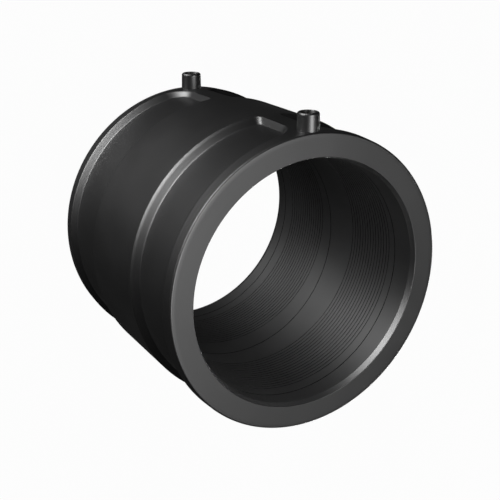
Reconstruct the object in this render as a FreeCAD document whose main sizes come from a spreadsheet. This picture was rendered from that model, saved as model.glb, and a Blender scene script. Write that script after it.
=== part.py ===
import FreeCAD, Part
import math
import os
import Sketcher
from FreeCAD import Vector

# Electrofusion coupler for a 160 mm polyethylene pressure pipe, standing on its lower end face.
# The bore runs along Z, the origin is the middle of the bore and both terminals point along +X.
# Lengths are in millimetres, and every size that can be set by itself has one row here.
DIMENSIONS = [
    ("pipe_diameter", 160.0, "outside diameter of the pipe that is welded in"),
    ("pipe_clearance", 0.6, "radial room between the pipe and the bore"),
    ("coupler_length", 172.0, "overall length between the end faces"),
    ("band_wall", 17.6, "radial thickness of the wall at the raised middle band"),
    ("rim_drop", 1.0, "how far the two end rims lie below the band"),
    ("recess_depth", 4.2, "how far the floors of the two wide recesses lie below the band"),
    ("face_bevel_width", 2.9, "radial width of the bevel round each end face"),
    ("face_bevel_depth", 0.9, "axial depth of the same bevel"),
    ("lead_in_width", 1.1, "radial width of the lead-in at each mouth"),
    ("lead_in_depth", 3.4, "axial depth of the same lead-in"),
    ("rim_land", 7.0, "end face to the top of the rim's slope"),
    ("recess_start", 13.8, "end face to the foot of the rim's slope"),
    ("recess_end", 49.4, "end face to the foot of the band's slope"),
    ("band_start", 55.2, "end face to the top of the band's slope"),
    ("edge_bevel_run", 1.3, "axial length of the flatter bevel that tops the band's slope"),
    ("edge_bevel_rise", 0.6, "radial height of the same bevel"),
    ("pad_width", 13.8, "width of the raised pad at the band's radius"),
    ("pad_wall_run", 2.45, "sideways run of each pad wall down to the recess floor"),
    ("band_corner_radius", 2.2, "rounding of the recess corner beside the band"),
    ("rim_corner_radius", 8.0, "rounding of the recess corner beside the rim"),
    ("terminal_inset", 8.7, "end face to the terminal's axis"),
    ("shroud_root_radius", 7.0, "outside radius of the terminal shroud at the rim"),
    ("shroud_top_radius", 6.8, "outside radius of the shroud at its mouth"),
    ("shroud_height", 11.1, "how far the shroud stands out from the rim"),
    ("shroud_edge_bevel", 0.8, "bevel round the shroud's mouth"),
    ("socket_radius", 5.0, "inside radius of the shroud"),
    ("socket_depth", 14.3, "depth of the socket inside the shroud"),
    ("pin_radius", 2.0, "radius of the contact pin inside the socket"),
    ("pin_root_radius", 2.6, "radius of the pin's root in the wall"),
    ("pin_setback", 2.5, "how far the pin's tip lies below the shroud's mouth"),
    ("pin_tip_bevel", 0.6, "bevel on the pin's tip"),
    ("wire_size", 1.0, "width of the heating wire at the bore, and its depth into the wall"),
    ("wire_sink", 0.05, "depth of the wire's face below the bore"),
    ("coil_pitch", 3.0, "distance between turns in a fusion zone"),
    ("coil_turns", 15.0, "turns in each fusion zone"),
    ("coil_relief", 0.2, "mean depth of the wound surface below the bore"),
    ("coil_thickness", 1.3, "radial thickness of each wound zone"),
    ("upper_coil_inset", 24.2, "upper end face to the upper wound zone"),
    ("lower_coil_inset", 22.3, "lower end face to the lower wound zone"),
    ("lead_turns", 1.07, "turns that each lead makes between its terminal and the coil"),
]

# Places and sizes that follow from the rows above, written as formulas over the sheet
BORE = "(dims.pipe_diameter / 2 + dims.pipe_clearance)"
MOUTH = "(%s + dims.lead_in_width)" % BORE
BAND = "(%s + dims.band_wall)" % BORE
RIM = "(%s - dims.rim_drop)" % BAND
FLOOR = "(%s - dims.recess_depth)" % BAND
END = "(dims.coupler_length / 2)"
FACE_RADIUS = "(%s - dims.face_bevel_width)" % RIM
FACE_EDGE = "(%s - dims.face_bevel_depth)" % END
RIM_FOOT = "(%s - dims.rim_land)" % END
BAND_TOP = "(%s - dims.band_start)" % END
TERMINAL = "(%s - dims.terminal_inset)" % END
SHROUD_TOP = "(%s + dims.shroud_height)" % RIM
SOCKET_FLOOR = "(%s - dims.socket_depth)" % SHROUD_TOP
PIN_TIP = "(%s - dims.pin_setback)" % SHROUD_TOP
WIRE_INNER = "(%s + dims.wire_sink)" % BORE
WIRE_OUTER = "(%s + dims.wire_size)" % WIRE_INNER
INSIDE_BORE = "(%s - dims.wire_size)" % BORE
COIL_INNER = "(%s + dims.coil_relief)" % BORE
COIL_OUTER = "(%s + dims.coil_thickness)" % COIL_INNER
COIL_LENGTH = "(dims.coil_turns * dims.coil_pitch)"
UPPER_COIL_TOP = "(%s - dims.upper_coil_inset)" % END
UPPER_COIL_FOOT = "(%s - %s)" % (UPPER_COIL_TOP, COIL_LENGTH)
LOWER_COIL_FOOT = "(dims.lower_coil_inset - %s)" % END
LOWER_COIL_TOP = "(%s + %s)" % (LOWER_COIL_FOOT, COIL_LENGTH)

doc = FreeCAD.newDocument("electrofusion_coupler")
sheet = doc.addObject("Spreadsheet::Sheet", "dims")
for row, (alias, value, note) in enumerate(DIMENSIONS, start=1):
    sheet.set("A%d" % row, alias)
    sheet.set("B%d" % row, str(value))
    sheet.setAlias("B%d" % row, alias)
    sheet.set("C%d" % row, note)
doc.recompute()


def value_of(formula):
    """The present value of a formula over the sheet."""
    return float(sheet.evalExpression(formula.replace("dims.", "")))


def new_body(name):
    """An empty body whose label names its file."""
    body = doc.addObject("PartDesign::Body", name)
    body.Label = name
    return body


def outline(body, name, corners, role="XZ_Plane"):
    """A closed outline of straight lines on one of the body's planes, each corner bound to the sheet."""
    sketch = body.newObject("Sketcher::SketchObject", name)
    plane = [feature for feature in body.Origin.OriginFeatures if feature.Role == role][0]
    sketch.AttachmentSupport = [(plane, "")]
    sketch.MapMode = "FlatFace"
    places = [Vector(value_of(across), value_of(along), 0) for across, along in corners]
    for index, place in enumerate(places):
        following = places[(index + 1) % len(places)]
        sketch.addGeometry(Part.LineSegment(place, following), False)
    for index in range(len(places)):
        sketch.addConstraint(Sketcher.Constraint("Coincident", index, 2, (index + 1) % len(places), 1))
    for index, (across, along) in enumerate(corners):
        bind(sketch, "DistanceX", index, places[index].x, across)
        bind(sketch, "DistanceY", index, places[index].y, along)
    return sketch


def bind(sketch, kind, line, value, formula):
    """Hold the start of a line at a formula's distance from the sketch's origin."""
    number = sketch.addConstraint(Sketcher.Constraint(kind, -1, 1, line, 1, value))
    sketch.setExpression("Constraints[%d]" % number, formula)


def turned(body, name, corners, axis="V_Axis", cut=False):
    """An outline turned through a full circle about the given axis of its sketch, added or cut."""
    feature_type = "PartDesign::Groove" if cut else "PartDesign::Revolution"
    sketch = outline(body, name + "Outline", corners)
    feature = body.newObject(feature_type, name)
    feature.Profile = sketch
    feature.ReferenceAxis = (sketch, [axis])
    feature.Angle = 360.0
    return feature


def rounded(body, name, base, radius, wanted):
    """A fillet on each edge of a feature whose middle point is wanted."""
    doc.recompute()
    edges = []
    for number, edge in enumerate(base.Shape.Edges, start=1):
        middle = edge.valueAt((edge.FirstParameter + edge.LastParameter) / 2)
        if wanted(middle):
            edges.append("Edge%d" % number)
    feature = body.newObject("PartDesign::Fillet", name)
    feature.Base = (base, edges)
    feature.setExpression("Radius", radius)
    return feature


# Recess tools: each is one wide recess, a ring with sloping sides that the terminal's pad interrupts
CORNER_MARGIN = 0.5


def recess_tool(name, side):
    """The space of one recess, on the upper side of the coupler for 1 and on the lower one for -1."""
    tool = new_body(name)
    clear = "(%s + dims.recess_depth / 2)" % BAND
    rim_run = "(dims.recess_start - dims.rim_land) / (dims.recess_depth - dims.rim_drop)"
    rim_top = "%s + %s * (%s - %s)" % (RIM_FOOT, rim_run, clear, RIM)
    bevel_run = "dims.edge_bevel_run / dims.edge_bevel_rise"
    band_top = "%s - %s * (%s - %s)" % (BAND_TOP, bevel_run, clear, BAND)
    turned(tool, name + "_ring", [
        (FLOOR, "%d * (%s - dims.recess_start)" % (side, END)),
        (clear, "%d * (%s)" % (side, rim_top)),
        (clear, "%d * (%s)" % (side, band_top)),
        ("%s - dims.edge_bevel_rise" % BAND, "%d * (%s + dims.edge_bevel_run)" % (side, BAND_TOP)),
        (FLOOR, "%d * (%s - dims.recess_end)" % (side, END)),
    ])
    below = "(%s - dims.recess_depth)" % FLOOR
    above = "(%s + dims.recess_depth)" % BAND
    wide = "(dims.pad_width / 2 + 2 * dims.pad_wall_run)"
    narrow = "(dims.pad_width / 2 - dims.pad_wall_run)"
    gap = tool.newObject("PartDesign::Pocket", name + "_gap")
    gap.Profile = outline(tool, name + "_gap_outline", [
        (below, "-1 * " + wide),
        (above, "-1 * " + narrow),
        (above, narrow),
        (below, wide),
    ], "XY_Plane")
    gap.Type = "ThroughAll"
    gap.SideType = "Symmetric"
    middle = value_of("%s - (dims.recess_start + dims.recess_end) / 2" % END)
    floor = value_of(FLOOR) + CORNER_MARGIN
    brim = value_of(clear) - CORNER_MARGIN

    def beside_pad(point):
        return floor < math.hypot(point.x, point.y) < brim and abs(point.y) < value_of("dims.pad_width")

    def band_corner(point):
        return beside_pad(point) and point.x > 0 and side * point.z < middle

    def rim_corner(point):
        return beside_pad(point) and point.x > 0 and side * point.z > middle

    corners = rounded(tool, name + "_band_corners", gap, "dims.band_corner_radius", band_corner)
    rounded(tool, name + "_rim_corners", corners, "dims.rim_corner_radius", rim_corner)
    return tool


recess_tools = [recess_tool("upper_recess_tool", 1), recess_tool("lower_recess_tool", -1)]

# Moulded body: rims at both ends, the raised band between the recesses and the chamfered bore
coupler = new_body("coupler_body")
wall = turned(coupler, "wall", [
    (MOUTH, END),
    (FACE_RADIUS, END),
    (RIM, FACE_EDGE),
    (RIM, RIM_FOOT),
    (BAND, BAND_TOP),
    (BAND, "-1 * " + BAND_TOP),
    (RIM, "-1 * " + RIM_FOOT),
    (RIM, "-1 * " + FACE_EDGE),
    (FACE_RADIUS, "-1 * " + END),
    (MOUTH, "-1 * " + END),
    (BORE, "dims.lead_in_depth - " + END),
    (BORE, "%s - dims.lead_in_depth" % END),
])
recesses = coupler.newObject("PartDesign::Boolean", "recesses")
recesses.Type = "Cut"
recesses.setObjects(recess_tools)
coupler.Tip = recesses

# Terminals: a drafted shroud on each pad, with a socket inside it and the pin's hole below that
for end_name, side in (("upper", 1), ("lower", -1)):
    axis = "%d * %s" % (side, TERMINAL)
    shroud_foot = "(%s - dims.recess_depth / 2)" % FLOOR
    shroud = turned(coupler, end_name + "_shroud", [
        (shroud_foot, axis),
        (SHROUD_TOP, axis),
        (SHROUD_TOP, "%s + %d * (dims.shroud_top_radius - dims.shroud_edge_bevel)" % (axis, side)),
        ("%s - dims.shroud_edge_bevel" % SHROUD_TOP, "%s + %d * dims.shroud_top_radius" % (axis, side)),
        (RIM, "%s + %d * dims.shroud_root_radius" % (axis, side)),
        (shroud_foot, "%s + %d * dims.shroud_root_radius" % (axis, side)),
    ], "Edge1")
    pin_foot = "(%s - dims.coil_relief)" % WIRE_OUTER
    above = "(%s + dims.pin_setback)" % SHROUD_TOP
    socket_wall = "%s + %d * dims.socket_radius" % (axis, side)
    hole_wall = "%s + %d * dims.pin_root_radius" % (axis, side)
    turned(coupler, end_name + "_socket", [
        (pin_foot, axis),
        (above, axis),
        (above, socket_wall),
        (SOCKET_FLOOR, socket_wall),
        (SOCKET_FLOOR, hole_wall),
        (pin_foot, hole_wall),
    ], "Edge1", cut=True)

# Wire runs: one continuous wire, left-handed, that comes in at one terminal and leaves at the other
# Each row is a run's name, its start, the height it climbs or falls, its turns and whether it falls
WIRE_RUNS = [
    ("upper_lead", TERMINAL, "(dims.upper_coil_inset - dims.terminal_inset + dims.wire_size)",
     "dims.lead_turns", True),
    ("crossover", "(%s - dims.wire_size)" % LOWER_COIL_TOP,
     "(%s - %s + 2 * dims.wire_size)" % (UPPER_COIL_FOOT, LOWER_COIL_TOP), "1", False),
    ("lower_lead", "(-1 * %s)" % TERMINAL, "(dims.lower_coil_inset - dims.terminal_inset + dims.wire_size)",
     "dims.lead_turns", False),
]
WOUND_ZONES = [
    ("upper_zone", UPPER_COIL_FOOT, UPPER_COIL_TOP),
    ("lower_zone", LOWER_COIL_FOOT, LOWER_COIL_TOP),
]


def wire_run(body, run, inner, cut=False):
    """A helical run of the wire, or the ploughed groove that it fills."""
    name, start, height, turns, falls = run
    half_width = "(%s - %s) / 2" % (WIRE_OUTER, inner)
    suffix = "_groove" if cut else ""
    sketch = outline(body, name + suffix + "_outline", [
        (inner, "%s - %s" % (start, half_width)),
        (WIRE_OUTER, start),
        (inner, "%s + %s" % (start, half_width)),
    ])
    kind = "PartDesign::SubtractiveHelix" if cut else "PartDesign::AdditiveHelix"
    feature = body.newObject(kind, name + suffix)
    feature.Profile = sketch
    feature.ReferenceAxis = (sketch, ["V_Axis"])
    feature.Mode = "height-turns-angle"
    feature.setExpression("Height", height)
    feature.setExpression("Turns", turns)
    feature.LeftHanded = True
    feature.Reversed = falls


def wound_zone(body, zone, inner, cut=False):
    """The closed band of turns in one fusion zone, or the bed that it lies in."""
    name, foot, top = zone
    corners = [(inner, foot), (COIL_OUTER, foot), (COIL_OUTER, top), (inner, top)]
    turned(body, name + ("_bed" if cut else ""), corners, cut=cut)


for zone in WOUND_ZONES:
    wound_zone(coupler, zone, INSIDE_BORE, cut=True)
for run in WIRE_RUNS:
    wire_run(coupler, run, INSIDE_BORE, cut=True)

# Heating coil: wound zones and the runs between them, each fused to the one it leads into
coil = new_body("heating_coil")
wound_zone(coil, WOUND_ZONES[0], COIL_INNER)
wire_run(coil, WIRE_RUNS[0], WIRE_INNER)
wire_run(coil, WIRE_RUNS[1], WIRE_INNER)
wound_zone(coil, WOUND_ZONES[1], COIL_INNER)
wire_run(coil, WIRE_RUNS[2], WIRE_INNER)

# Terminal pins: turned pins that stand on the wire's ends, each moulded tight into the wall
pins = []
for end_name, side in (("upper", 1), ("lower", -1)):
    pin = new_body(end_name + "_terminal_pin")
    turned(pin, end_name + "_pin", [
        (WIRE_OUTER, "0"),
        (PIN_TIP, "0"),
        (PIN_TIP, "dims.pin_radius - dims.pin_tip_bevel"),
        ("%s - dims.pin_tip_bevel" % PIN_TIP, "dims.pin_radius"),
        (SOCKET_FLOOR, "dims.pin_radius"),
        (SOCKET_FLOOR, "dims.pin_root_radius"),
        (WIRE_OUTER, "dims.pin_root_radius"),
    ], "H_Axis")
    pin.setExpression("Placement.Base.z", "%d * %s" % (side, TERMINAL))
    pins.append(pin)

doc.recompute()
for item in doc.Objects:
    if "Invalid" in item.State or "Error" in item.State:
        raise RuntimeError("%s did not recompute" % item.Name)

pieces = [coupler, coil] + pins
for piece in pieces:
    if piece.Shape.isNull() or not piece.Shape.isValid() or len(piece.Shape.Solids) != 1:
        raise RuntimeError("%s is not one valid solid" % piece.Label)

os.makedirs("parts", exist_ok=True)
for piece in pieces:
    piece.Shape.exportStep(os.path.join("parts", piece.Label + ".step"))
    print("%s: %.1f mm3, %d faces" % (piece.Label, piece.Shape.Volume, len(piece.Shape.Faces)))
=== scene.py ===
import math
import bmesh
import bpy
from mathutils import Matrix, Vector


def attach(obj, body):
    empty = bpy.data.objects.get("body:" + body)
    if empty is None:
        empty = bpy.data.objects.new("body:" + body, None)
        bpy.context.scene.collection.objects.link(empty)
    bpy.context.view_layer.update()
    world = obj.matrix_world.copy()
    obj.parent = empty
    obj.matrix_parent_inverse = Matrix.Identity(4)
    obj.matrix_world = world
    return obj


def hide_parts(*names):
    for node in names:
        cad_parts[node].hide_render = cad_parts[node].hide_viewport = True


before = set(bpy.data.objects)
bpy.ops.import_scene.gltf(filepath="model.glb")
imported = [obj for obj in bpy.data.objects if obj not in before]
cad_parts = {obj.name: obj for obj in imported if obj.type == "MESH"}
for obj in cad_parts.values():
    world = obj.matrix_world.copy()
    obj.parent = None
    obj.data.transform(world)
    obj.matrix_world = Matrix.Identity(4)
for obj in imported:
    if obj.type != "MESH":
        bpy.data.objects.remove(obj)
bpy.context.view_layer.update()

# Moulded body: one injection moulding of black polyethylene, cast round a core that carries the wound wire.
# The mould leaves a raised band in the middle and a rim at each end, with a shallow recess between them
# that stops short of the terminals, so that a flat pad runs under each terminal from rim to band.
MM = 0.001
HALF_LENGTH = 86.0

# Radii of the bore, of the outside and of the end face
BORE = 80.6
MOUTH = 81.9
BAND = 98.2
RIM = 97.5
RIM_EDGE = 96.95
RECESS_FLOOR = 94.0
FACE_EDGE = 94.2

# Depths, and the roundings of the edges at each end
LEAD_IN_DEPTH = 3.9
LEAD_IN_ROUNDING = 0.3
MOUTH_ROUNDING = 0.35
FACE_BEVEL_DEPTH = 0.09
FACE_BEVEL_ROUNDING = 1.2
RIM_EDGE_ROUNDING = 1.2
ROUNDING_STEPS = 5
FLAT_HOLD = 0.15

# How far the recess slopes lie from the end face, and how their upper edge is broken beside the band
RIM_SLOPE_TOP = 9.3
RIM_SLOPE_FOOT = 13.7
BAND_SLOPE_FOOT = 49.3
BAND_SLOPE_TOP = 55.0
BAND_EDGE_LEVEL = 0.7
BAND_EDGE_SHARE = 0.765
BAND_EDGE_FADE = 6.0

# How softly the creases of the slopes turn, and how the level of a point on a slope is searched for
CREASE_SOFTNESS = 0.05
LEVEL_MARGIN = 0.25
HALVINGS = 16

# Half widths of the pads, and the corners that their walls make with the rim and the band
PAD_TOP_HALF = 6.9
PAD_FOOT_HALF = 9.35
RIM_CORNER_TOP = 16.0
RIM_CORNER_FOOT = 12.5
BAND_CORNER_TOP = 4.5
BAND_CORNER_FOOT = 3.0

# Rows of the outside wall, each stretch with the height where it ends and its number of rows, and the
# columns round it, which lie close together beside the terminals and wider apart elsewhere
LAND_INSET = 2.4
BORE_END_ROW = 1.0
WALL_ROWS = ((79.0, 4), (71.0, 18), (57.0, 24), (42.0, 6), (29.6, 30), (0.0, 3))
WALL_TOLERANCE = 0.1
FINE_HALF_ANGLE = math.radians(16)
FINE_COLUMNS = 128
COARSE_COLUMNS = 140

# Points nearer than this merge and slivers thinner than this go, both in metres, and sharper turns stay sharp
MERGE_DISTANCE = 0.00001
SLIVER = 0.000002
SHARP_ANGLE = math.radians(32)

# Beds of the two wound zones, and the groove that the wire leaves where it crosses plain bore
COIL_BED = 82.1
UPPER_ZONE = (62.2, 17.2)
LOWER_ZONE = (-18.7, -63.7)
WIRE_GROOVE_HALF = 0.3
WIRE_GROOVE_DEPTH = 0.5
WIRE_GROOVE_SIDE = 0.1
WIRE_WRAP = math.radians(7)
GROOVE_ROWS = (-0.7, -0.3, -0.2, 0.0, 0.2, 0.3, 0.7)

# How the rows that follow the wire are found, and how they draw together short of the ends of their stretch
ROW_TOLERANCE = 0.01
BORE_TOLERANCE = 0.05
STRETCH_MARGIN = 0.5
ROW_SQUEEZE = 0.4

# Each stretch of plain bore that the wire crosses: its foot, its top, the wire's height at the terminals
# and how far the wire falls in one turn
LEAD_TOP = 81.8
UPPER_LEAD = (62.2, LEAD_TOP, 77.2, 14.8)
CROSSOVER = (-18.7, 17.2, 18.2, 37.9)
LOWER_LEAD = (-LEAD_TOP, -63.7, -63.66, 13.64)


def turn_angle(place):
    """Angle round the bore from the terminals, from 0 to a full turn."""
    return math.atan2(place.y, place.x) % (2 * math.pi)


def mix(first, second, share):
    """Value that lies a share of the way from the first to the second."""
    return first + (second - first) * share


def smooth_step(value):
    """Smooth rise from 0 to 1."""
    share = min(max(value, 0.0), 1.0)
    return share * share * (3 - 2 * share)


def inside_outline(inset, beside, level):
    """How far a point of the wall lies inside the recess outline at one level of its slopes."""
    from_rim = inset - mix(RIM_SLOPE_FOOT, RIM_SLOPE_TOP, level)
    from_band = mix(BAND_SLOPE_FOOT, BAND_SLOPE_TOP, level) - inset
    from_pad = beside - mix(PAD_FOOT_HALF, PAD_TOP_HALF, level)
    rim_corner = mix(RIM_CORNER_FOOT, RIM_CORNER_TOP, level)
    band_corner = mix(BAND_CORNER_FOOT, BAND_CORNER_TOP, level)
    depth = min(from_rim, from_band, from_pad)
    for from_side, corner in ((from_rim, rim_corner), (from_band, band_corner)):
        if max(from_pad, from_side) < corner:
            depth = min(depth, corner - math.hypot(corner - from_pad, corner - from_side))
    return depth


def slope_level(inset, beside):
    """Level of a point on the recess slopes, 0 at their foot and 1 at their top, found by halving."""
    low, high = -LEVEL_MARGIN, 1 + LEVEL_MARGIN
    if inside_outline(inset, beside, low) > 0:
        return low
    if inside_outline(inset, beside, high) < 0:
        return high
    for _ in range(HALVINGS):
        middle = (low + high) / 2
        if inside_outline(inset, beside, middle) < 0:
            low = middle
        else:
            high = middle
    return (low + high) / 2


def rounded_ramp(value):
    """Nought below zero and the value itself above, with the crease between them rounded."""
    if abs(value) >= CREASE_SOFTNESS:
        return max(value, 0.0)
    return (value + CREASE_SOFTNESS) ** 2 / (4 * CREASE_SOFTNESS)


def outer_radius(height, angle):
    """Radius of the outside wall at a height and an angle from the terminals."""
    inset = HALF_LENGTH - abs(height)
    beside = min(angle, 2 * math.pi - angle) * RIM
    if inset < RIM_SLOPE_TOP:
        top = mix(RIM_EDGE, RIM, inset / RIM_SLOPE_TOP)
    else:
        top = mix(RIM, BAND, min((inset - RIM_SLOPE_TOP) / (BAND_SLOPE_TOP - RIM_SLOPE_TOP), 1.0))
    level = slope_level(inset, beside)
    share = rounded_ramp(level) - rounded_ramp(level - 1)
    if inset > (RIM_SLOPE_FOOT + BAND_SLOPE_FOOT) / 2:
        edge = BAND_EDGE_SHARE + (share - BAND_EDGE_LEVEL) * (1 - BAND_EDGE_SHARE) / (1 - BAND_EDGE_LEVEL)
        broken = min(share * BAND_EDGE_SHARE / BAND_EDGE_LEVEL, edge)
        share = mix(share, broken, smooth_step((beside - PAD_TOP_HALF) / BAND_EDGE_FADE))
    return mix(RECESS_FLOOR, top, share)


def wire_height(stretch, angle):
    """Height of the wire in a stretch; it winds left-handed, so it falls as the angle grows."""
    start, fall = stretch[2:]
    return start - fall * angle / (2 * math.pi)


def beside_wire(stretch, row, angle):
    """Radius and height of one row that follows the wire through a stretch, sunk where its groove is."""
    foot, top = stretch[:2]
    seam = wire_height(stretch, 2 * math.pi)
    wire = mix(seam, wire_height(stretch, angle), smooth_step(angle / WIRE_WRAP))
    squeezed = row * ROW_SQUEEZE
    height = min(max(wire + row, foot + STRETCH_MARGIN + squeezed), top - STRETCH_MARGIN + squeezed)
    share = min(max((WIRE_GROOVE_HALF - abs(height - wire)) / WIRE_GROOVE_SIDE, 0.0), 1.0)
    sunk = WIRE_GROOVE_DEPTH * share * smooth_step(2 * angle / WIRE_WRAP - 1)
    return BORE + sunk, height


def rounded(corners):
    """Outline whose corners with a rounding are arcs, with a row beside each that keeps its flats flat."""
    points = []
    for index, (radius, height, rounding) in enumerate(corners):
        corner = Vector((radius, height))
        if not rounding:
            points.append((radius, height))
            continue
        before = (Vector(corners[index - 1][:2]) - corner).normalized()
        after = (Vector(corners[index + 1][:2]) - corner).normalized()
        half = before.angle(after) / 2
        centre = corner + (before + after).normalized() * rounding / math.sin(half)
        reach = rounding / math.tan(half)
        first = corner + before * reach - centre
        last = corner + after * reach - centre
        points.append(tuple(corner + before * (reach + FLAT_HOLD)))
        for step in range(ROUNDING_STEPS + 1):
            arm = first.lerp(last, step / ROUNDING_STEPS).normalized() * rounding
            points.append(tuple(centre + arm))
        points.append(tuple(corner + after * (reach + FLAT_HOLD)))
    return points


def end_outline():
    """Upper end of the half section: rim land, its rounded edge, face bevel, end face and lead-in."""
    land = LAND_INSET / RIM_SLOPE_TOP
    lead_foot = HALF_LENGTH - LEAD_IN_DEPTH
    return rounded([(mix(RIM_EDGE, RIM, land), HALF_LENGTH - LAND_INSET, 0),
                    (RIM_EDGE, HALF_LENGTH - FACE_BEVEL_DEPTH, RIM_EDGE_ROUNDING),
                    (FACE_EDGE, HALF_LENGTH, FACE_BEVEL_ROUNDING), (MOUTH, HALF_LENGTH, MOUTH_ROUNDING),
                    (BORE, lead_foot, LEAD_IN_ROUNDING), (BORE, lead_foot - BORE_END_ROW, 0)])


def wall_heights():
    """Height of each row of the outside wall above its middle, from the rim's land down."""
    heights = [HALF_LENGTH - LAND_INSET]
    for end, rows in WALL_ROWS:
        first = heights[-1]
        heights += [mix(first, end, (row + 1) / rows) for row in range(rows)]
    return heights[1:]


def body_outline():
    """Radius and height of each row of the half section, down the outside and up the bore."""
    upper = wall_heights()
    outside = [(RIM, height) for height in upper] + [(RIM, -height) for height in reversed(upper[:-1])]
    end = end_outline()
    inside = []
    for foot, top, _, _ in (LOWER_LEAD, CROSSOVER, UPPER_LEAD):
        if foot > -LEAD_TOP:
            inside += [(COIL_BED, foot), (BORE, foot)]
        inside += [(BORE, (foot + top) / 2 + row) for row in GROOVE_ROWS]
        if top < LEAD_TOP:
            inside += [(BORE, top), (COIL_BED, top)]
    return outside + [(radius, -height) for radius, height in end] + inside + end[::-1]


def ring_of_edges(bm, outline):
    """Closed loop of edges through radius and height corners, in the plane of the terminals."""
    corners = [bm.verts.new((radius * MM, 0, height * MM)) for radius, height in outline]
    edges = [bm.edges.new((corner, corners[index - 1])) for index, corner in enumerate(corners)]
    return corners + edges


def sharpened(bm):
    """Smooth faces that break where two of them meet at more than the sharp angle."""
    for face in bm.faces:
        face.smooth = True
    for edge in bm.edges:
        edge.smooth = edge.calc_face_angle(0.0) < SHARP_ANGLE


def finished(bm, name):
    """Object of a mesh that is merged, faces outwards and is smooth but for its sharp edges."""
    bmesh.ops.remove_doubles(bm, verts=bm.verts, dist=MERGE_DISTANCE)
    bmesh.ops.dissolve_degenerate(bm, edges=bm.edges, dist=SLIVER)
    bmesh.ops.recalc_face_normals(bm, faces=bm.faces)
    sharpened(bm)
    mesh = bpy.data.meshes.new(name)
    bm.to_mesh(mesh)
    bm.free()
    piece = bpy.data.objects.new(name, mesh)
    bpy.context.scene.collection.objects.link(piece)
    return piece


body = bmesh.new()
section = ring_of_edges(body, body_outline())
bmesh.ops.rotate(body, verts=body.verts, matrix=Matrix.Rotation(-FINE_HALF_ANGLE, 3, "Z"))
for angle, columns in ((2 * FINE_HALF_ANGLE, FINE_COLUMNS),
                       (2 * math.pi - 2 * FINE_HALF_ANGLE, COARSE_COLUMNS)):
    spun = bmesh.ops.spin(body, geom=section, axis=(0, 0, 1), angle=angle, steps=columns)
    section = spun["geom_last"]
bmesh.ops.remove_doubles(body, verts=body.verts, dist=MERGE_DISTANCE)

# The recesses are pressed into the outside, between the rims, the band and the pads
for corner in body.verts:
    radius = corner.co.xy.length / MM
    if radius > RIM - WALL_TOLERANCE:
        corner.co.xy *= outer_radius(corner.co.z / MM, turn_angle(corner.co)) / radius

# Seven rows in each stretch of plain bore follow the wire round, and the inner ones sink as its groove
for stretch in (UPPER_LEAD, CROSSOVER, LOWER_LEAD):
    middle = (stretch[0] + stretch[1]) / 2
    for corner in body.verts:
        radius = corner.co.xy.length / MM
        row = corner.co.z / MM - middle
        if abs(radius - BORE) <= BORE_TOLERANCE and abs(row) <= GROOVE_ROWS[-1] + ROW_TOLERANCE:
            sunk_radius, height = beside_wire(stretch, row, turn_angle(corner.co))
            corner.co.xy *= sunk_radius / radius
            corner.co.z = height * MM

coupler_body = finished(body, "moulded_body")

# Terminal shrouds: a round collar stands on each pad, moulded with the body, round a socket for the lead.
# The collar tapers a little for the mould and its lip is rounded inside and out. Places along a terminal
# are distances from the bore's axis.
TERMINAL_HEIGHT = 77.3
SHROUD_TOP = 108.3
SHROUD_ROOT_RADIUS = 7.0
SHROUD_TOP_RADIUS = 6.8
SHROUD_FOOT = 96.0
SHROUD_LIP = 1.4
SOCKET_RADIUS = 5.0
SOCKET_FLOOR = 94.0
SOCKET_LIP_ROWS = ((0.5, 1.0), (0.5, 0.02), (0.17, -0.14), (0.0, -0.5))
PIN_HOLE_RADIUS = 2.6
PIN_HOLE_FLOOR = 84.0
TERMINAL_STEPS = 72
ARC_STEPS = 6


def spun_about_terminal(outline, height):
    """Mesh turned about a terminal's axis from corners given as radius and place along it."""
    bm = bmesh.new()
    corners = [bm.verts.new((out * MM, 0, (height + radius) * MM)) for radius, out in outline]
    edges = [bm.edges.new(pair) for pair in zip(corners, corners[1:])]
    bmesh.ops.spin(bm, geom=corners + edges, cent=(0, 0, height * MM), axis=(1, 0, 0), angle=2 * math.pi,
                   steps=TERMINAL_STEPS, use_merge=True)
    bmesh.ops.remove_doubles(bm, verts=bm.verts, dist=MERGE_DISTANCE)
    return bm


def rounded_lip(radius, out, size):
    """Corners of a quarter round about a centre, from straight out to straight sideways."""
    turns = [math.radians(mix(90, 0, step / ARC_STEPS)) for step in range(ARC_STEPS + 1)]
    return [(radius + size * math.cos(turn), out + size * math.sin(turn)) for turn in turns]


def cut_or_join(piece, tool, operation):
    """Piece with a tool cut from it or joined to it."""
    change = piece.modifiers.new(operation.lower(), "BOOLEAN")
    change.operation = operation
    change.solver = "EXACT"
    change.object = tool
    shape = piece.evaluated_get(bpy.context.evaluated_depsgraph_get())
    mesh = bpy.data.meshes.new_from_object(shape)
    piece.modifiers.clear()
    old_mesh = piece.data
    piece.data = mesh
    bpy.data.meshes.remove(old_mesh)
    bpy.data.meshes.remove(tool.data)


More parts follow.
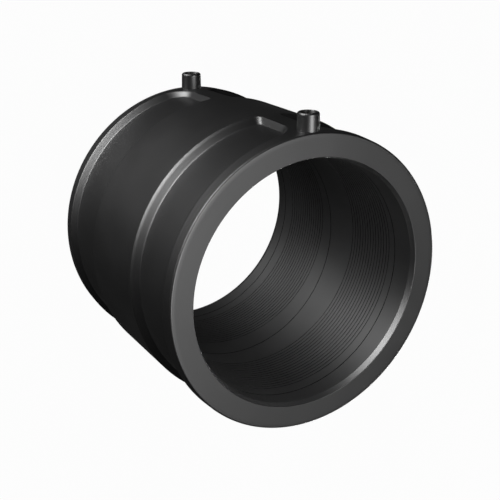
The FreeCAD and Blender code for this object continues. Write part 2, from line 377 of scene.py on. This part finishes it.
lip_out = SHROUD_TOP - SHROUD_LIP
collar = [(0, SHROUD_TOP), (SHROUD_TOP_RADIUS - SHROUD_LIP, SHROUD_TOP)]
collar += rounded_lip(SHROUD_TOP_RADIUS - SHROUD_LIP, lip_out, SHROUD_LIP)
collar += [(SHROUD_TOP_RADIUS, lip_out - FLAT_HOLD), (SHROUD_ROOT_RADIUS, SHROUD_FOOT), (0, SHROUD_FOOT)]
socket = [(0, SHROUD_TOP + SOCKET_LIP_ROWS[0][1])]
socket += [(SOCKET_RADIUS + beyond, SHROUD_TOP + above) for beyond, above in SOCKET_LIP_ROWS]
socket += [(SOCKET_RADIUS, SOCKET_FLOOR), (PIN_HOLE_RADIUS, SOCKET_FLOOR), (PIN_HOLE_RADIUS, PIN_HOLE_FLOOR),
           (0, PIN_HOLE_FLOOR)]
for height in (TERMINAL_HEIGHT, -TERMINAL_HEIGHT):
    cut_or_join(coupler_body, finished(spun_about_terminal(collar, height), "collar_tool"), "UNION")
    cut_or_join(coupler_body, finished(spun_about_terminal(socket, height), "socket_tool"), "DIFFERENCE")
whole = bmesh.new()
whole.from_mesh(coupler_body.data)
sharpened(whole)
whole.to_mesh(coupler_body.data)
whole.free()

# Finish of the moulding: satin black all over, and painted shade inside the grooves: a darker, duller black
# that stands in for the shade there. Each pair runs from one end of the mottle to the other, and the grain's
# height is in metres.
BLACK = ((0.0010, 0.0010, 0.0011, 1), (0.0022, 0.0022, 0.0024, 1))
SATIN_ROUGHNESS = (0.405, 0.435)
SATIN_SHINE = 1
# Painted shade for the grooves: a darker black with a weaker shine, in place of the shade that falls in them
PAINTED_GROOVE_SHADE = ((0.0006, 0.0006, 0.0007, 1), (0.0014, 0.0014, 0.0015, 1))
GROOVE_ROUGHNESS = (0.7, 0.8)
GROOVE_SHADE_SHINE = 0.1
MOTTLE_SCALE = 28
MOTTLE_DETAIL = 4
MOTTLE_RANGE = (0.3, 0.7)
GRAIN_SCALE = 1600
GRAIN_DETAIL = 3
GRAIN_HEIGHT = 0.000002

# Where the painted groove shade begins and ends below the surface, and how far along the bore grooves are
# looked for
GROOVE_START = 0.03
GROOVE_FLOOR_SLACK = 0.02
GROOVE_SEARCH_END = 82.0


def new_material(name):
    """Material with its node tree and its shader."""
    material = bpy.data.materials.new(name)
    material.use_nodes = True
    return material, material.node_tree, material.node_tree.nodes["Principled BSDF"]


def grain_group():
    """Surface of moulded polyethylene: a mottle the size of flow marks, and the fine grain of the mould."""
    group = bpy.data.node_groups.new("moulded_grain", "ShaderNodeTree")
    for name in ("Mottle Scale", "Grain Scale", "Grain Height"):
        group.interface.new_socket(name, in_out="INPUT", socket_type="NodeSocketFloat")
    group.interface.new_socket("Mottle", in_out="OUTPUT", socket_type="NodeSocketFloat")
    group.interface.new_socket("Normal", in_out="OUTPUT", socket_type="NodeSocketVector")
    nodes, links = group.nodes, group.links
    given, result = nodes.new("NodeGroupInput"), nodes.new("NodeGroupOutput")
    place = nodes.new("ShaderNodeTexCoord")
    mottle, fine = nodes.new("ShaderNodeTexNoise"), nodes.new("ShaderNodeTexNoise")
    mottle.inputs["Detail"].default_value = MOTTLE_DETAIL
    fine.inputs["Detail"].default_value = GRAIN_DETAIL
    bump = nodes.new("ShaderNodeBump")
    bump.inputs["Strength"].default_value = 1
    for noise, scale in ((mottle, "Mottle Scale"), (fine, "Grain Scale")):
        links.new(place.outputs["Object"], noise.inputs["Vector"])
        links.new(given.outputs[scale], noise.inputs["Scale"])
    links.new(given.outputs["Grain Height"], bump.inputs["Distance"])
    links.new(fine.outputs["Fac"], bump.inputs["Height"])
    links.new(mottle.outputs["Fac"], result.inputs["Mottle"])
    links.new(bump.outputs["Normal"], result.inputs["Normal"])
    return group


moulded_grain = grain_group()


def black_plastic(name, colours, roughness, shine):
    """Black polyethylene whose shade and gloss drift a little with the mottle."""
    material, tree, shader = new_material(name)
    grain = tree.nodes.new("ShaderNodeGroup")
    grain.node_tree = moulded_grain
    grain.inputs["Mottle Scale"].default_value = MOTTLE_SCALE
    grain.inputs["Grain Scale"].default_value = GRAIN_SCALE
    grain.inputs["Grain Height"].default_value = GRAIN_HEIGHT
    shade = tree.nodes.new("ShaderNodeMix")
    shade.data_type = "RGBA"
    shade.inputs["A"].default_value, shade.inputs["B"].default_value = colours
    gloss = tree.nodes.new("ShaderNodeMapRange")
    gloss.inputs["From Min"].default_value, gloss.inputs["From Max"].default_value = MOTTLE_RANGE
    gloss.inputs["To Min"].default_value, gloss.inputs["To Max"].default_value = roughness
    shader.inputs["Specular IOR Level"].default_value = shine
    tree.links.new(grain.outputs["Mottle"], shade.inputs["Factor"])
    tree.links.new(grain.outputs["Mottle"], gloss.inputs["Value"])
    tree.links.new(shade.outputs["Result"], shader.inputs["Base Color"])
    tree.links.new(gloss.outputs["Result"], shader.inputs["Roughness"])
    tree.links.new(grain.outputs["Normal"], shader.inputs["Normal"])
    return material


def paint_shade_in_grooves(piece, lowest, highest):
    """Give a piece's faces between two radii, the insides of its grooves, its second material: painted shade.
    """
    for face in piece.data.polygons:
        if lowest < face.center.xy.length / MM < highest and abs(face.center.z) < GROOVE_SEARCH_END * MM:
            face.material_index = 1


coupler_body.data.materials.clear()
coupler_body.data.materials.append(black_plastic("black_polyethylene", BLACK, SATIN_ROUGHNESS, SATIN_SHINE))
# The body's grooves get the painted shade as their second material
painted_groove_shade = black_plastic("painted_groove_shade", PAINTED_GROOVE_SHADE, GROOVE_ROUGHNESS, GROOVE_SHADE_SHINE)
coupler_body.data.materials.append(painted_groove_shade)
paint_shade_in_grooves(coupler_body, BORE + GROOVE_START, BORE + WIRE_GROOVE_DEPTH + GROOVE_FLOOR_SLACK)
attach(coupler_body, "root")
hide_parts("coupler_body")


# Heating coil: one resistance wire in a polyethylene skin, wound left-handed on the mould's core, so that
# its turns lie side by side just under the bore. Each turn shows as a flat ridge with a fine steep-sided
# groove beside it, and single runs of the same wire lead from the terminals and cross the cold middle.
COIL_FACE = 80.65
COIL_BACK = 82.1
PITCH = 3.0
STEPS_PER_TURN = 180
SPARE_TURNS = 2
CUT_TOLERANCE = 0.000005
COIL_GROOVE_START = 0.1
COIL_GROOVE_DEPTH = 0.5

# Rows of one turn, as the distance along the bore from its start and the depth below the coil's face
TURN_ROWS = ((0.0, 0.0), (0.08, COIL_GROOVE_DEPTH), (0.42, COIL_GROOVE_DEPTH), (0.5, 0.0), (1.75, -0.03))


def wound_band(top, foot):
    """Closed band of wound skin between two heights: one turn is spun, repeated, cut level and backed."""
    bm = bmesh.new()
    rows = [(COIL_FACE + sunk, -along) for along, sunk in TURN_ROWS] + [(COIL_FACE, -PITCH)]
    turns = round((top - foot) / PITCH) + SPARE_TURNS
    corners = [bm.verts.new((radius * MM, 0, (top + PITCH + height) * MM)) for radius, height in rows]
    edges = [bm.edges.new(pair) for pair in zip(corners, corners[1:])]
    bmesh.ops.spin(bm, geom=corners + edges, axis=(0, 0, 1), angle=2 * math.pi, steps=STEPS_PER_TURN,
                   dvec=(0, 0, -PITCH * MM / STEPS_PER_TURN))
    first_turn = bm.verts[:] + bm.edges[:] + bm.faces[:]
    for turn in range(1, turns):
        repeat = bmesh.ops.duplicate(bm, geom=first_turn)
        moved = [item for item in repeat["geom"] if isinstance(item, bmesh.types.BMVert)]
        bmesh.ops.translate(bm, verts=moved, vec=(0, 0, -turn * PITCH * MM))
    bmesh.ops.remove_doubles(bm, verts=bm.verts, dist=MERGE_DISTANCE)
    for height, side in ((top, 1), (foot, -1)):
        bmesh.ops.bisect_plane(bm, geom=bm.verts[:] + bm.edges[:] + bm.faces[:], dist=CUT_TOLERANCE,
                               plane_co=(0, 0, height * MM), plane_no=(0, 0, side), clear_outer=True)
    rims = [edge for edge in bm.edges if edge.is_boundary]
    backed = bmesh.ops.extrude_edge_only(bm, edges=rims)["geom"]
    for item in backed:
        if isinstance(item, bmesh.types.BMVert):
            item.co.xy *= COIL_BACK * MM / item.co.xy.length
    bmesh.ops.bridge_loops(bm, edges=[item for item in backed if isinstance(item, bmesh.types.BMEdge)])
    return bm


coil = wound_band(*UPPER_ZONE)
lower_band = bpy.data.meshes.new("lower_band")
wound_band(*LOWER_ZONE).to_mesh(lower_band)
coil.from_mesh(lower_band)
bpy.data.meshes.remove(lower_band)
heating_coil = finished(coil, "wound_wire")
heating_coil.data.materials.append(black_plastic("wire_skin", BLACK, SATIN_ROUGHNESS, SATIN_SHINE))
# The coil's grooves get the same painted shade as the body's
heating_coil.data.materials.append(painted_groove_shade)
paint_shade_in_grooves(heating_coil, COIL_FACE + COIL_GROOVE_START, COIL_FACE + COIL_GROOVE_DEPTH + GROOVE_FLOOR_SLACK)
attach(heating_coil, "root")
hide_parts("heating_coil")


# Terminal pins: turned brass, pressed into the wall at the foot of each socket, where the wire's end joins.
# The pin stands inside its shroud, a little below the mouth, and its tip is rounded for the plug.
PIN_RADIUS = 2.0
PIN_ROOT_RADIUS = 2.6
PIN_ROOT = 84.0
PIN_TIP = 105.8
PIN_TIP_BEVEL = 0.6
BRASS_LIGHT = (0.62, 0.43, 0.16, 1)
BRASS_DARK = (0.40, 0.26, 0.09, 1)
BRASS_ROUGHNESS = (0.38, 0.22)
LATHE_RINGS = 700
LATHE_RING_DEPTH = 0.000015
TARNISH_SCALE = 400


def turned_brass():
    """Brass with the fine rings of the lathe along the pin and a light tarnish."""
    material, tree, shader = new_material("terminal_brass")
    place = tree.nodes.new("ShaderNodeTexCoord")
    rings = tree.nodes.new("ShaderNodeTexWave")
    rings.bands_direction = "X"
    rings.inputs["Scale"].default_value = LATHE_RINGS
    rings.inputs["Distortion"].default_value = 1
    tarnish = tree.nodes.new("ShaderNodeTexNoise")
    tarnish.inputs["Scale"].default_value = TARNISH_SCALE
    shade = tree.nodes.new("ShaderNodeMix")
    shade.data_type = "RGBA"
    shade.inputs["A"].default_value = BRASS_DARK
    shade.inputs["B"].default_value = BRASS_LIGHT
    gloss = tree.nodes.new("ShaderNodeMapRange")
    gloss.inputs["To Min"].default_value, gloss.inputs["To Max"].default_value = BRASS_ROUGHNESS
    bump = tree.nodes.new("ShaderNodeBump")
    bump.inputs["Distance"].default_value = LATHE_RING_DEPTH
    shader.inputs["Metallic"].default_value = 1
    for pattern in (rings, tarnish):
        tree.links.new(place.outputs["Object"], pattern.inputs["Vector"])
    tree.links.new(tarnish.outputs["Fac"], shade.inputs["Factor"])
    tree.links.new(tarnish.outputs["Fac"], gloss.inputs["Value"])
    tree.links.new(rings.outputs["Fac"], bump.inputs["Height"])
    tree.links.new(shade.outputs["Result"], shader.inputs["Base Color"])
    tree.links.new(gloss.outputs["Result"], shader.inputs["Roughness"])
    tree.links.new(bump.outputs["Normal"], shader.inputs["Normal"])
    return material


brass = turned_brass()
pin_outline = [(0, PIN_TIP)] + rounded_lip(PIN_RADIUS - PIN_TIP_BEVEL, PIN_TIP - PIN_TIP_BEVEL, PIN_TIP_BEVEL)
pin_outline += [(PIN_RADIUS, SOCKET_FLOOR), (PIN_ROOT_RADIUS, SOCKET_FLOOR), (PIN_ROOT_RADIUS, PIN_ROOT),
                (0, PIN_ROOT)]
for side, height in (("upper", TERMINAL_HEIGHT), ("lower", -TERMINAL_HEIGHT)):
    pin = finished(spun_about_terminal(pin_outline, height), side + "_pin")
    pin.data.materials.append(brass)
    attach(pin, "root")
    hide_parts(side + "_terminal_pin")


# Stage: a plain pale floor that runs into a pale backdrop, soft lights and the photograph's own viewpoint.
# Floor and backdrop look near white to the camera but throw little light on the part. The key lights and the
# fill cast no shadows, so that they reach the inside of the bore, as the light in the photograph does.
CAMERA_PLACE = (0.22336, 0.30963, 0.54534)
CAMERA_RIGHT = Vector((0.00697, -0.86711, 0.49806))
CAMERA_BACK = Vector((0.33984, 0.47048, 0.81434)).normalized()
CAMERA_LENS = 68.985
SENSOR_WIDTH = 36
FLOOR_SIZE = 4
FLOOR_GLOW = 0.98
FLOOR_SHADE = (0.003, 0.003, 0.003, 1)
FIBRE_SCALE = 60
FIBRE_DRIFT = 0.99
ROOM_LIGHT = 0.01

# Each light's name, its azimuth, elevation and spread in degrees, its strength and whether it casts shadows
LIGHTS = (
    ("key_left", 34.3, -9.2, 39, 2.7, False),
    ("key_right", 56.4, -9.2, 39, 2.7, False),
    ("overhead", 220, 84, 30, 2.8, True),
    ("fill", 235, -14, 50, 0.8, False),
)


def pale_floor():
    """White paper with a faint fibre that glows near white to the camera alone."""
    material, tree, shader = new_material("pale_floor")
    sight = tree.nodes.new("ShaderNodeLightPath")
    fibre = tree.nodes.new("ShaderNodeTexNoise")
    fibre.inputs["Scale"].default_value = FIBRE_SCALE
    glow = tree.nodes.new("ShaderNodeMapRange")
    glow.inputs["To Min"].default_value = FLOOR_GLOW * FIBRE_DRIFT
    glow.inputs["To Max"].default_value = FLOOR_GLOW
    seen = tree.nodes.new("ShaderNodeMath")
    seen.operation = "MULTIPLY"
    shader.inputs["Base Color"].default_value = FLOOR_SHADE
    shader.inputs["Roughness"].default_value = 1
    shader.inputs["Specular IOR Level"].default_value = 0
    shader.inputs["Emission Color"].default_value = (1, 1, 1, 1)
    tree.links.new(fibre.outputs["Fac"], glow.inputs["Value"])
    tree.links.new(glow.outputs["Result"], seen.inputs[0])
    tree.links.new(sight.outputs["Is Camera Ray"], seen.inputs[1])
    tree.links.new(seen.outputs["Value"], shader.inputs["Emission Strength"])
    return material


def pale_backdrop():
    """World that the camera sees near white, though it gives the part only a little light from all round."""
    world = bpy.data.worlds.new("studio")
    world.use_nodes = True
    tree = world.node_tree
    backdrop = tree.nodes["Background"]
    backdrop.inputs["Color"].default_value = (1, 1, 1, 1)
    sight = tree.nodes.new("ShaderNodeLightPath")
    strength = tree.nodes.new("ShaderNodeMapRange")
    strength.inputs["To Min"].default_value = ROOM_LIGHT
    strength.inputs["To Max"].default_value = FLOOR_GLOW
    tree.links.new(sight.outputs["Is Camera Ray"], strength.inputs["Value"])
    tree.links.new(strength.outputs["Result"], backdrop.inputs["Strength"])
    return world


def soft_light(name, azimuth, elevation, spread, strength, shadows):
    """Far soft light from a direction round the coupler; without shadows it reaches the bore."""
    light = bpy.data.lights.new(name, "SUN")
    light.energy = strength
    light.angle = math.radians(spread)
    light.use_shadow = shadows
    light.cycles.use_multiple_importance_sampling = shadows
    turn, rise = math.radians(azimuth), math.radians(elevation)
    direction = Vector((math.cos(turn) * math.cos(rise), math.sin(turn) * math.cos(rise), math.sin(rise)))
    lamp = bpy.data.objects.new(name, light)
    lamp.matrix_world = Matrix.Translation(direction) @ direction.to_track_quat("Z", "Y").to_matrix().to_4x4()
    bpy.context.scene.collection.objects.link(lamp)


camera_up = CAMERA_BACK.cross(CAMERA_RIGHT).normalized()
camera_right = camera_up.cross(CAMERA_BACK)
lens = bpy.data.cameras.new("photograph")
lens.lens = CAMERA_LENS
lens.sensor_width = SENSOR_WIDTH
camera = bpy.data.objects.new("photograph", lens)
axes = Matrix((camera_right, camera_up, CAMERA_BACK)).transposed()
camera.matrix_world = Matrix.Translation(CAMERA_PLACE) @ axes.to_4x4()
bpy.context.scene.collection.objects.link(camera)
bpy.context.scene.camera = camera

floor_mesh = bmesh.new()
bmesh.ops.create_grid(floor_mesh, x_segments=1, y_segments=1, size=FLOOR_SIZE,
                      matrix=Matrix.Translation((0, 0, -HALF_LENGTH * MM)))
floor = finished(floor_mesh, "floor")
floor.data.materials.append(pale_floor())

for light in LIGHTS:
    soft_light(*light)
bpy.context.scene.world = pale_backdrop()
bpy.context.scene.view_settings.view_transform = "Standard"
